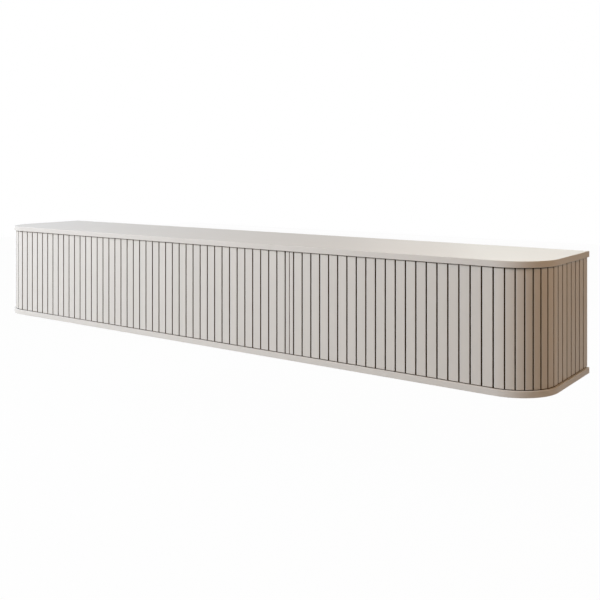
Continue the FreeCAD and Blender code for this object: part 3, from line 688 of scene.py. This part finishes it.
# ---------------------------------------------------------------- hanging rail and its screws
# The mating extrusion is screwed through the stretchers, and its lip drops behind the wall rail's.
# The screws are zinc plated, countersunk, with a cross recess.

new_piece("hanging_rail_extrusion", eased("hanging_rail", rail_edge), "carcase", "aluminium", aluminium,
          "hanging_rail")
screw_edge = 0.00015
new_piece("hanging_rail_screws_plated", eased("hanging_rail_screws", screw_edge, steps=1), "carcase",
          "steel", steel, "hanging_rail_screws")


# ---------------------------------------------------------------- end shells
# Each rounded end is a bent 16 mm shell, glued to the ribs and slabs. Its outer face carries dark
# brown painted shade, so that the grooves between the slats read as deep shadow. The rest is off-white.

bend_round = 0.125              # of the slats' faces
slat_thick = 0.010
face_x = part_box("right_end_slats")[1].x
face_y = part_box("left_flap_slats")[0].y
shade_overreach = 0.004               # how far the painted shade reaches round onto a shell's ends
shell_lacquer, shell_shade, shell_sheen, shell_relief = lacquer("satin_lacquer_shells_painted_shade")
shell_lacquer.show(shell_shade * lacquer_colour, shell_sheen, shell_relief)
behind_faces = inset_from(shell_lacquer, face_x, face_y, bend_round)
shade_reach = slat_thick + shade_overreach
# Painted shade on the shell's outer face behind the slats, where the grooves hold only shade.
shade_mask = shell_lacquer.ranged(behind_faces, shade_reach, shade_reach + mask_soft, 1.0, 0.0)
shell_lacquer.covered(shade_mask, *painted_shade(shell_lacquer), painted_shade_gloss)
for side in ("left", "right"):
    node = side + "_end_shell"
    new_piece(node + "_bent", eased(node, panel_edge), "carcase", "lacquer_backing", shell_lacquer, node)


# ---------------------------------------------------------------- end slats
# Fifteen fibreboard slats run round each end, eight round the bend and seven along the side. Those
# in the middle of the bend are narrower. All edges of their faces are eased. Their sides, their ends
# and the side part of each eased edge carry dark brown painted shade, the faces are off-white.

slat_pitch = 0.0335
groove_width = 0.004            # on the front
bend_groove_width = 0.0034
side_groove_width = 0.005
slat_round = 0.001
slat_steps = 4                  # faces in each eased edge
edge_shade_share = 0.5                # share of painted shade on the second face of an eased edge, next to a groove
front_pitches = 62
bend_slats = 8
bend_slat_faces = 8             # across a slat, to follow the bend
bend_run = 0.215                # along the faces, over all eight
bend_narrowing = 0.3
side_slats = 7
slat_low_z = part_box("left_flap_slats")[0].z
slat_high_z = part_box("left_flap_slats")[1].z
straight_half = face_x - bend_round
bend_arc = bend_round * math.pi / 2
skin_end = straight_half + bend_arc - (face_y + bend_round)
slat_dice = random.Random(62)   # gives each slat a tone of its own


def skin_place(path, inset):
    """Place on the right half of the skin, path along it from the middle of the front."""
    if path <= straight_half:
        return path, face_y + inset
    if path >= straight_half + bend_arc:
        return face_x - inset, face_y + bend_round + path - straight_half - bend_arc
    turn = (path - straight_half) / bend_round
    radius = bend_round - inset
    return straight_half + radius * math.sin(turn), face_y + bend_round - radius * math.cos(turn)


def slat_outline(start, end, pull, across, notch):
    """Cross-section of a slat as path and inset, drawn in by pull, notched at the back if asked."""
    corner = slat_round - pull
    turns = [step / slat_steps * math.pi / 2 for step in range(slat_steps + 1)]
    near = [(start + slat_round - corner * math.cos(turn), slat_round - corner * math.sin(turn))
            for turn in turns]
    far = [(start + end - path, inset) for path, inset in reversed(near)]
    face_start, face_end = start + slat_round, end - slat_round
    face = [(face_start + (face_end - face_start) * step / across, pull) for step in range(1, across)]
    back = [(end - pull, slat_thick)]
    if notch:
        middle, half, depth = notch
        back += [(middle + half, slat_thick), (middle + half, depth), (middle - half, depth),
                 (middle - half, slat_thick)]
    return near + face + far + back + [(start + pull, slat_thick)]


def add_slat(build, start, end, side=1, across=1, notch=None, notch_top=0.0):
    """Adds a slat between two distances along the skin. notch is its middle, half width and inset."""
    flat = notch and (notch[0], notch[1], slat_thick)
    stack = rims(slat_round, slat_low_z, slat_high_z, slat_steps)
    levels = [(pull, z, notch if z < notch_top else flat) for pull, z in stack]
    if notch:
        upper = slat_steps + 1
        levels = levels[:upper] + [(0, notch_top, notch), (0, notch_top, flat)] + levels[upper:]
    rings = []
    for pull, z, cut in levels:
        places = [skin_place(*point) for point in slat_outline(start, end, pull, across, cut)]
        rings.append([(side * x, y, z) for x, y in places])
    far_round = slat_steps + across     # columns: near round, face, far round, far side, back, near side
    far_side = far_round + slat_steps
    near_side = len(rings[0]) - 1

    def rounded(level, place):
        at_corner = place < slat_steps or far_round <= place < far_side
        at_rim = not slat_steps <= level <= len(levels) - slat_steps - 2
        return (at_corner or at_rim) and place < far_side

    # Painted shade on the slat's sides and the side part of its eased edges, where the grooves hold only
    # shade.
    def groove_shade(place):
        if place in (near_side, 0, far_side - 1, far_side):
            return 1.0
        return edge_shade_share if place in (1, far_side - 2) else 0.0

    # Both ends carry painted shade too, as they face the shadow gaps.
    add_stack(build, rings, rounded, slat_dice.uniform(-1, 1), groove_shade, 1.0)


def bend_grooves():
    """Middles of the grooves round the bend, closer together in the middle of it."""
    weights = [1 - bend_narrowing * math.sin(math.pi * (number + 0.5) / bend_slats)
               for number in range(bend_slats)]
    places = [front_pitches / 2 * slat_pitch]
    for weight in weights:
        places.append(places[-1] + bend_run * weight / sum(weights))
    return places


grooves = bend_grooves()
side_step = (skin_end - grooves[-1]) / side_slats
grooves += [grooves[-1] + side_step * (number + 1) for number in range(side_slats)]
widths = [groove_width] + [bend_groove_width] * (bend_slats - 1) + [side_groove_width] * side_slats + [0.0]
slat_lacquer, slat_shade, slat_sheen, slat_relief = lacquer("satin_lacquer_slats_painted_shade")
slat_lacquer.show(slat_shade * lacquer_colour, slat_sheen, slat_relief)
# Painted shade over the lacquer wherever a slat face lies in a groove or faces a shadow gap.
slat_lacquer.covered(slat_lacquer.attribute("groove"), *painted_shade(slat_lacquer), painted_shade_gloss)
for side, name in ((-1, "left"), (1, "right")):
    build = bmesh.new()
    starts = [middle + width / 2 for middle, width in zip(grooves, widths)]
    ends = [middle - width / 2 for middle, width in zip(grooves, widths)]
    for number, (start, end) in enumerate(zip(starts, ends[1:])):
        add_slat(build, start, end, side, bend_slat_faces if number < bend_slats else 1)
    bmesh.ops.remove_doubles(build, verts=build.verts, dist=weld)
    new_piece(name + "_end_slat_row", build, "carcase", "lacquer", slat_lacquer, name + "_end_slats")


# ---------------------------------------------------------------- flap boards
# Each flap is a 16 mm board, notched along its lower edge for the pivots. Its front, behind the
# slats, carries the same dark brown painted shade as the shells. The rest is lacquered like the slats.

board_edge = 0.0008
board_front_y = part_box("left_flap_board")[0].y
flap_lacquer, flap_shade, flap_sheen, flap_relief = lacquer("satin_lacquer_flap_boards_painted_shade")
flap_lacquer.show(flap_shade * lacquer_colour, flap_sheen, flap_relief)
# Painted shade on the board's front, which shows only in the grooves.
behind_front = flap_lacquer.along((0, 1, 0)) - board_front_y
shade_mask = flap_lacquer.ranged(behind_front, board_edge, board_edge + mask_soft, 1.0, 0.0)
flap_lacquer.covered(shade_mask, *painted_shade(flap_lacquer), painted_shade_gloss)
for leaf in leaves:
    node = leaf + "_flap_board"
    new_piece(node + "_lacquered", eased(node, board_edge, steps=3), leaf + "_flap", "lacquer_backing",
              flap_lacquer, node)


# ---------------------------------------------------------------- flap slats
# Sixty-two slats cover the front at one pitch, glued to the flap boards. One of the seams between
# flaps runs through the middle of a slat. Slats over a pivot are notched behind for its housing.

seam_gap = 0.002
seams = (0, 21, 41.5, front_pitches)    # in pitches from the left flap's left end, like the pivots
pivots = ((2.5, 10.5, 18.5), (23.5, 31.5, 39.5), (43.5, 51.5, 59.5))
notch_half = 0.012
notch_inset = 0.003             # from the slat's face to the floor of the notch
notch_top_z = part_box("left_pivot_housings")[1].z


def front_x(pitches):
    """Place along the front, from the number of pitches."""
    return (pitches - front_pitches / 2) * slat_pitch


for leaf, first, last, flap_pivots in zip(leaves, seams, seams[1:], pivots):
    stops = [first] + [stop for stop in range(front_pitches) if first < stop < last] + [last]
    build = bmesh.new()
    for near, far in zip(stops, stops[1:]):
        near_gap = groove_width if near == int(near) else seam_gap
        far_gap = groove_width if far == int(far) else seam_gap
        behind = [pivot for pivot in flap_pivots if near < pivot < far]
        notch = (front_x(behind[0]), notch_half, notch_inset) if behind else None
        add_slat(build, front_x(near) + near_gap / 2, front_x(far) - far_gap / 2, notch=notch,
                 notch_top=notch_top_z)
    bmesh.ops.remove_doubles(build, verts=build.verts, dist=weld)
    new_piece(leaf + "_flap_slat_row", build, leaf + "_flap", "lacquer", slat_lacquer, leaf + "_flap_slats")


# ---------------------------------------------------------------- pivots
# A die-cast housing is let into the flap over each hinge bracket, and a steel pin pressed across
# it turns in the bracket's ear. The brackets are screwed to the bottom slab.

cast_edge = 0.0004
pin_edge = 0.0002
new_piece("hinge_brackets_cast", eased("hinge_brackets", cast_edge), "carcase", "zinc", zinc,
          "hinge_brackets")
new_piece("hinge_bracket_screws_plated", eased("hinge_bracket_screws", screw_edge, steps=1), "carcase",
          "steel", steel, "hinge_bracket_screws")
for leaf in leaves:
    flap = leaf + "_flap"
    housings, pins, screws = leaf + "_pivot_housings", leaf + "_hinge_pins", leaf + "_flap_screws"
    new_piece(housings + "_cast", eased(housings, cast_edge), flap, "zinc", zinc, housings)
    new_piece(pins + "_ground", eased(pins, pin_edge), flap, "steel", steel, pins)
    new_piece(screws + "_plated", eased(screws, screw_edge, steps=1), flap, "steel", steel, screws)


# ---------------------------------------------------------------- stays
# Two slotted flat arms hold each flap level when it is down. An arm turns on a stud in the flap's
# angle bracket, and its slot slides over a shouldered stud screwed into the upright.

arm_colour = (0.64, 0.65, 0.66)
arm_patch = 0.02
brush_line = 0.0004
brush_depth = 5e-6
arm_low, arm_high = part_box("left_stay_arms")
arm_run = Vector((0, arm_high.y - arm_low.y, arm_low.z - arm_high.z)).normalized()
arm_rise = Vector((0, -arm_run.z, arm_run.y))
arm_steel = Finish("brushed_steel_arms")
arm_place = arm_steel.node("CombineXYZ", {}, {
    0: arm_steel.along(tuple(arm_run)), 1: arm_steel.along(tuple(arm_rise)), 2: arm_steel.along((1, 0, 0))})
brushing = arm_steel.noise(brush_line, (60, 1, 1), detail=3.0, place=arm_place)
arm_cloud = arm_steel.noise(arm_patch, detail=3.0)
arm_worn = arm_steel.attribute("eased_face")
arm_steel.show(
    (0.78 + 0.24 * brushing + 0.16 * arm_cloud + 0.10 * arm_worn) * arm_colour,
    0.24 + 0.14 * brushing + 0.12 * arm_cloud,
    brush_depth * brushing,
    metallic=1.0,
)
plate_edge = 0.0003
new_piece("stay_studs_turned", eased("stay_studs", plate_edge), "carcase", "steel", steel, "stay_studs")
for leaf in leaves:
    brackets, arms = leaf + "_stay_brackets", leaf + "_stay_arms"
    new_piece(brackets + "_pressed", eased(brackets, plate_edge), leaf + "_flap", "steel", steel, brackets)
    new_piece(arms + "_brushed", eased(arms, plate_edge), leaf + "_stays", "steel", arm_steel, arms)


# ---------------------------------------------------------------- touch latches
# A push-to-open latch sits under the top slab at the middle of each bay. Its sprung plunger ends
# just short of a steel strike disc on the flap, and pushing the flap sends it out.

latch_edge = 0.0007
plunger_edge = 0.0006
disc_edge = 0.0003
grey_plastic = moulded("grey_plastic", colour=(0.20, 0.20, 0.21), roughness=0.40,
                       texture_size=0.0006, texture_depth=8e-6)
new_piece("latch_bodies_moulded", eased("latch_bodies", latch_edge, steps=3), "carcase", "black_plastic",
          black_plastic, "latch_bodies")
new_piece("latch_screws_plated", eased("latch_screws", screw_edge, steps=1), "carcase", "steel", steel,
          "latch_screws")
for leaf in leaves:
    plunger, disc = leaf + "_latch_plunger", leaf + "_strike_disc"
    new_piece(plunger + "_moulded", eased(plunger, plunger_edge, steps=3), leaf + "_latch", "grey_plastic",
              grey_plastic, plunger)
    new_piece(disc + "_plated", eased(disc, disc_edge), leaf + "_flap", "steel", steel, disc)


# ---------------------------------------------------------------- bumper pads
# Soft domed pads on the uprights' front edges stop each flap quietly. They are cast in clear grey
# polyurethane and stuck on.

rubber = moulded("soft_pad_rubber", colour=(0.42, 0.42, 0.40), roughness=0.50,
                 texture_size=0.0008, texture_depth=6e-6)
pad_dome = 0.0012               # height of the domed part
dome_steps = 5
dome_closing = 0.92             # how far the dome closes, which leaves a small flat
build = bmesh.new()
for low, high in solid_boxes("bumper_pads"):
    radius = (high.x - low.x) / 2
    run = high.y - low.y
    foot = Vector(((low.x + high.x) / 2, high.y, (low.z + high.z) / 2))
    profile = [(radius, 0), (radius, run - pad_dome)]
    for step in range(1, dome_steps + 1):
        turn = step / dome_steps * math.pi / 2
        profile.append((radius * math.cos(dome_closing * turn), run - pad_dome + pad_dome * math.sin(turn)))
    add_turned(build, profile, foot, Vector((0, -1, 0)))
new_piece("bumper_pads_domed", build, "carcase", "rubber", rubber, "bumper_pads")


# ---------------------------------------------------------------- studio
# A pale floor a console's hanging height below, one soft lamp high on the left in front, weak ones
# that lift the left, the right and the wall side, and a faint warm surround.

hanging_height = 0.45
floor_reach = 9.0
floor_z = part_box("bottom_slab")[0].z - hanging_height
surround_colour = (0.10, 0.075, 0.05)
floor_colour = (0.60, 0.58, 0.55)
floor_cloud = 0.4
floor_roughness = 0.9
floor_whiteness = 0.98          # of what the camera sees of the floor
floor_squares = 8


def seen_directly(tree):
    """1 for what the camera sees, straight on or in a shiny or clear surface."""
    path = tree.node("LightPath").socket.node
    names = ("Is Camera Ray", "Is Glossy Ray", "Is Transmission Ray")
    ways = [Wire(tree, path.outputs[name]) for name in names]
    return tree.node("Clamp", {}, {0: ways[0] + ways[1] + ways[2]})


floor_paint = Finish("studio_floor")
floor_paint.show((0.97 + 0.06 * floor_paint.noise(floor_cloud)) * floor_colour, floor_roughness)
glow = floor_paint.node("Emission", {}, {"Color": (1, 1, 1), "Strength": 1.0})
lit = floor_paint.node("MixShader", {}, {
    0: floor_whiteness * seen_directly(floor_paint),
    1: Wire(floor_paint, floor_paint.shader.outputs[0]),
    2: glow})
floor_paint.feed(floor_paint.nodes["Material Output"].inputs["Surface"], lit)
build = bmesh.new()
bmesh.ops.create_grid(build, x_segments=floor_squares, y_segments=floor_squares, size=floor_reach)
floor_mesh = bpy.data.meshes.new("studio_floor")
build.to_mesh(floor_mesh)
build.free()
floor_mesh.materials.append(floor_paint.material)
floor = bpy.data.objects.new("studio_floor", floor_mesh)
floor.location.z = floor_z
bpy.context.collection.objects.link(floor)

world = bpy.data.worlds.new("studio_surround")
world.use_nodes = True
surround = Tree(world.node_tree)
surround.feed(surround.nodes["Background"].inputs["Color"],
              surround.mixed(seen_directly(surround), surround_colour, (1, 1, 1)))
bpy.context.scene.world = world


console_middle = (0.0, -0.2, 0.0)
right_part = (0.6, -0.2, 0.0)


def lamp(name, place, power, colour, aim=console_middle, size=2.0):
    """Soft square lamp, aimed from its place. Power in watts."""
    data = bpy.data.lights.new(name, "AREA")
    data.size = size
    data.energy = power
    data.color = colour
    made = bpy.data.objects.new(name, data)
    made.location = place
    made.rotation_euler = (Vector(aim) - Vector(place)).to_track_quat("-Z", "Y").to_euler()
    made.visible_camera = False
    bpy.context.collection.objects.link(made)


lamp("window_lamp", (-1.95, -3.575, 2.25), 225, (0.88, 0.93, 1.0))
lamp("left_lamp", (-2.56, -0.65, 1.5), 28, (0.52, 0.71, 1.0))
lamp("right_lamp", (2.6, -0.7, 1.4), 13.6, (1.0, 0.63, 0.35), aim=right_part, size=0.8)
lamp("wall_lamp_high", (-0.60, 3.21, 2.0), 26.5, (1.0, 1.0, 0.95))
lamp("wall_lamp_low", (0.0, 3.56, 1.37), 15, (0.84, 1.0, 0.98))

frame_side = 600
lens = 50.0
eye = (1.9434, -2.5139, 0.3443)
heading = math.radians(36.165)
horizon_drop = 134.03           # of frame_side, from the horizon down to the view's middle
camera_data = bpy.data.cameras.new("camera")
camera_data.lens = lens
camera_data.shift_y = -horizon_drop / frame_side
camera = bpy.data.objects.new("camera", camera_data)
camera.location = eye
camera.rotation_euler = (math.pi / 2, 0, heading)
bpy.context.collection.objects.link(camera)
bpy.context.scene.camera = camera
bpy.context.scene.view_settings.view_transform = "Standard"
